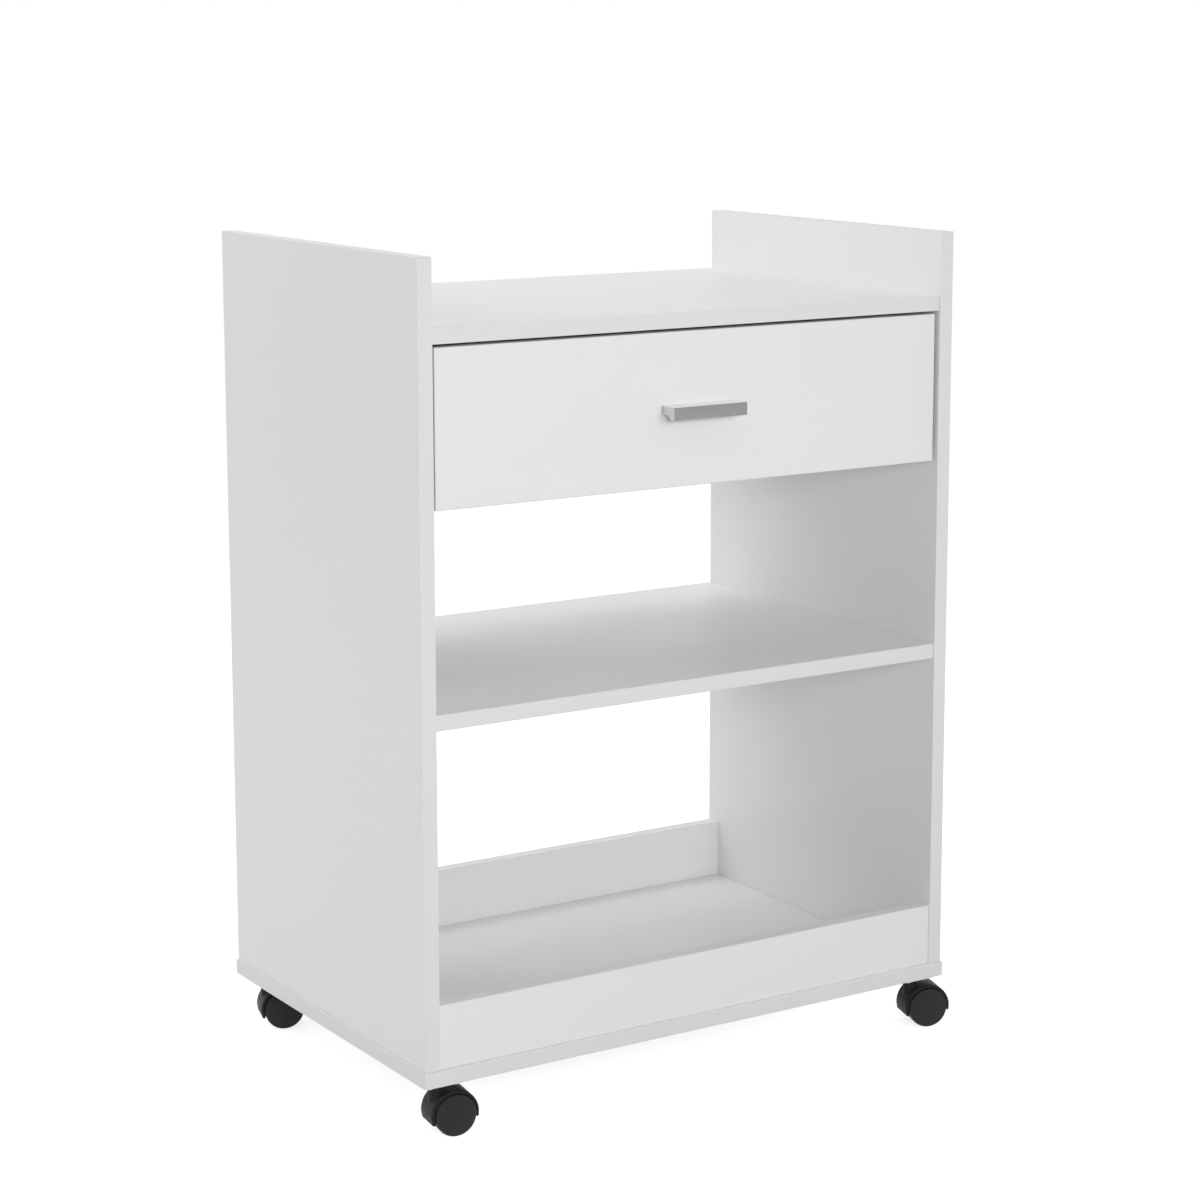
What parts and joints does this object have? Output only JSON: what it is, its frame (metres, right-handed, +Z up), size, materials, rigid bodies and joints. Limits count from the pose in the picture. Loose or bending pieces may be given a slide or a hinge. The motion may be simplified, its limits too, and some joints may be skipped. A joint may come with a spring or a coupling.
{
  "type": "microwave stand with drawer",
  "caption": "Rolling board stand that carries a microwave between raised sides, with a roller-runner drawer, an open shelf and a lipped tray, on swivelling hooded casters.",
  "frame": {"origin": "on the floor under the middle of the base board", "axes": "+Z up, -Y towards the drawer side, +X to the right of someone facing the drawer"},
  "size_m": [0.6174, 0.4123, 0.808],
  "materials": {
    "white_board": "matte white melamine on particle board, edge-banded",
    "bottom_board": "white-faced hardboard",
    "dowel_wood": "bare beech",
    "zinc_fitting": "zinc-plated",
    "screw_steel": "zinc-plated",
    "pin_steel": "bright turned steel",
    "plate_steel": "zinc-plated sheet",
    "runner_steel": "white epoxy coat",
    "roller_plastic": "natural nylon",
    "handle_metal": "brushed, anodised",
    "caster_plastic": "matte black nylon"
  },
  "bodies": {
    "carcass": {"base_panel": "white_board", "left_side_panel": "white_board", "right_side_panel": "white_board", "top_shelf": "white_board", "middle_shelf": "white_board", "front_lip": "white_board", "rear_lip": "white_board", "rear_stretcher": "white_board", "wooden_dowels": "dowel_wood", "cam_locks": "zinc_fitting", "cam_bolts": "zinc_fitting", "base_screws": "screw_steel", "cabinet_runner_left": "runner_steel", "cabinet_runner_right": "runner_steel", "cabinet_roller_pins": "pin_steel", "cabinet_runner_screws": "screw_steel", "caster_stems": "pin_steel", "caster_screws": "screw_steel", "front_left_caster_plate": "plate_steel", "front_right_caster_plate": "plate_steel", "rear_left_caster_plate": "plate_steel", "rear_right_caster_plate": "plate_steel"},
    "drawer": {"drawer_front": "white_board", "drawer_side_left": "white_board", "drawer_side_right": "white_board", "drawer_back": "white_board", "drawer_bottom": "bottom_board", "drawer_cam_locks": "zinc_fitting", "drawer_cam_bolts": "zinc_fitting", "drawer_dowels": "dowel_wood", "drawer_back_screws": "screw_steel", "drawer_bottom_screws": "screw_steel", "drawer_handle": "handle_metal", "handle_screws": "screw_steel", "drawer_runner_left": "runner_steel", "drawer_runner_right": "runner_steel", "drawer_roller_pins": "pin_steel", "drawer_runner_screws": "screw_steel"},
    "cabinet_roller_left": {"cabinet_roller_left": "roller_plastic"},
    "cabinet_roller_right": {"cabinet_roller_right": "roller_plastic"},
    "drawer_roller_left": {"drawer_roller_left": "roller_plastic"},
    "drawer_roller_right": {"drawer_roller_right": "roller_plastic"},
    "front_left_caster": {"front_left_caster_hood": "caster_plastic", "front_left_caster_axle": "pin_steel"},
    "front_left_wheel_front": {"front_left_caster_wheel_front": "caster_plastic"},
    "front_left_wheel_rear": {"front_left_caster_wheel_rear": "caster_plastic"},
    "front_right_caster": {"front_right_caster_hood": "caster_plastic", "front_right_caster_axle": "pin_steel"},
    "front_right_wheel_front": {"front_right_caster_wheel_front": "caster_plastic"},
    "front_right_wheel_rear": {"front_right_caster_wheel_rear": "caster_plastic"},
    "rear_left_caster": {"rear_left_caster_hood": "caster_plastic", "rear_left_caster_axle": "pin_steel"},
    "rear_left_wheel_front": {"rear_left_caster_wheel_front": "caster_plastic"},
    "rear_left_wheel_rear": {"rear_left_caster_wheel_rear": "caster_plastic"},
    "rear_right_caster": {"rear_right_caster_hood": "caster_plastic", "rear_right_caster_axle": "pin_steel"},
    "rear_right_wheel_front": {"rear_right_caster_wheel_front": "caster_plastic"},
    "rear_right_wheel_rear": {"rear_right_caster_wheel_rear": "caster_plastic"}
  },
  "joints": [
    {"name": "drawer_slide", "type": "slide", "parent": "carcass", "child": "drawer", "axis": [0, -1, 0], "range_m": [0, 0.25]},
    {"name": "cabinet_roller_left_spin", "type": "hinge", "parent": "carcass", "child": "cabinet_roller_left", "pos_m": [-0.2782, -0.165, 0.6035], "axis": [1, 0, 0], "continuous": true},
    {"name": "cabinet_roller_right_spin", "type": "hinge", "parent": "carcass", "child": "cabinet_roller_right", "pos_m": [0.2782, -0.165, 0.6035], "axis": [1, 0, 0], "continuous": true},
    {"name": "drawer_roller_left_spin", "type": "hinge", "parent": "drawer", "child": "drawer_roller_left", "pos_m": [-0.2753, 0.1613, 0.6033], "axis": [1, 0, 0], "continuous": true},
    {"name": "drawer_roller_right_spin", "type": "hinge", "parent": "drawer", "child": "drawer_roller_right", "pos_m": [0.2753, 0.1613, 0.6033], "axis": [1, 0, 0], "continuous": true},
    {"name": "front_left_caster_swivel", "type": "hinge", "parent": "carcass", "child": "front_left_caster", "pos_m": [-0.2766, -0.1746, 0.053], "axis": [0, 0, 1], "continuous": true},
    {"name": "front_left_wheel_front_spin", "type": "hinge", "parent": "front_left_caster", "child": "front_left_wheel_front", "pos_m": [-0.26224, -0.17662, 0.02], "axis": [0.1392, 0.9903, 0], "continuous": true},
    {"name": "front_left_wheel_rear_spin", "type": "hinge", "parent": "front_left_caster", "child": "front_left_wheel_rear", "pos_m": [-0.26224, -0.17662, 0.02], "axis": [0.1392, 0.9903, 0], "continuous": true},
    {"name": "front_right_caster_swivel", "type": "hinge", "parent": "carcass", "child": "front_right_caster", "pos_m": [0.2766, -0.1746, 0.053], "axis": [0, 0, 1], "continuous": true},
    {"name": "front_right_wheel_front_spin", "type": "hinge", "parent": "front_right_caster", "child": "front_right_wheel_front", "pos_m": [0.29043, -0.17896, 0.02], "axis": [0.3007, 0.9537, 0], "continuous": true},
    {"name": "front_right_wheel_rear_spin", "type": "hinge", "parent": "front_right_caster", "child": "front_right_wheel_rear", "pos_m": [0.29043, -0.17896, 0.02], "axis": [0.3007, 0.9537, 0], "continuous": true},
    {"name": "rear_left_caster_swivel", "type": "hinge", "parent": "carcass", "child": "rear_left_caster", "pos_m": [-0.2766, 0.1746, 0.053], "axis": [0, 0, 1], "continuous": true},
    {"name": "rear_left_wheel_front_spin", "type": "hinge", "parent": "rear_left_caster", "child": "rear_left_wheel_front", "pos_m": [-0.26263, 0.17072, 0.02], "axis": [0.2672, 0.9636, 0], "continuous": true},
    {"name": "rear_left_wheel_rear_spin", "type": "hinge", "parent": "rear_left_caster", "child": "rear_left_wheel_rear", "pos_m": [-0.26263, 0.17072, 0.02], "axis": [0.2672, 0.9636, 0], "continuous": true},
    {"name": "rear_right_caster_swivel", "type": "hinge", "parent": "carcass", "child": "rear_right_caster", "pos_m": [0.2766, 0.1746, 0.053], "axis": [0, 0, 1], "continuous": true},
    {"name": "rear_right_wheel_front_spin", "type": "hinge", "parent": "rear_right_caster", "child": "rear_right_wheel_front", "pos_m": [0.29078, 0.17158, 0.02], "axis": [0.2079, 0.9781, 0], "continuous": true},
    {"name": "rear_right_wheel_rear_spin", "type": "hinge", "parent": "rear_right_caster", "child": "rear_right_wheel_rear", "pos_m": [0.29078, 0.17158, 0.02], "axis": [0.2079, 0.9781, 0], "continuous": true}
  ],
  "couplings": [
    {"joint": "cabinet_roller_left_spin", "follows": "drawer_slide", "rad_per_m": 125},
    {"joint": "cabinet_roller_right_spin", "follows": "drawer_slide", "rad_per_m": 125},
    {"joint": "drawer_roller_left_spin", "follows": "drawer_slide", "rad_per_m": 125},
    {"joint": "drawer_roller_right_spin", "follows": "drawer_slide", "rad_per_m": 125}
  ]
}
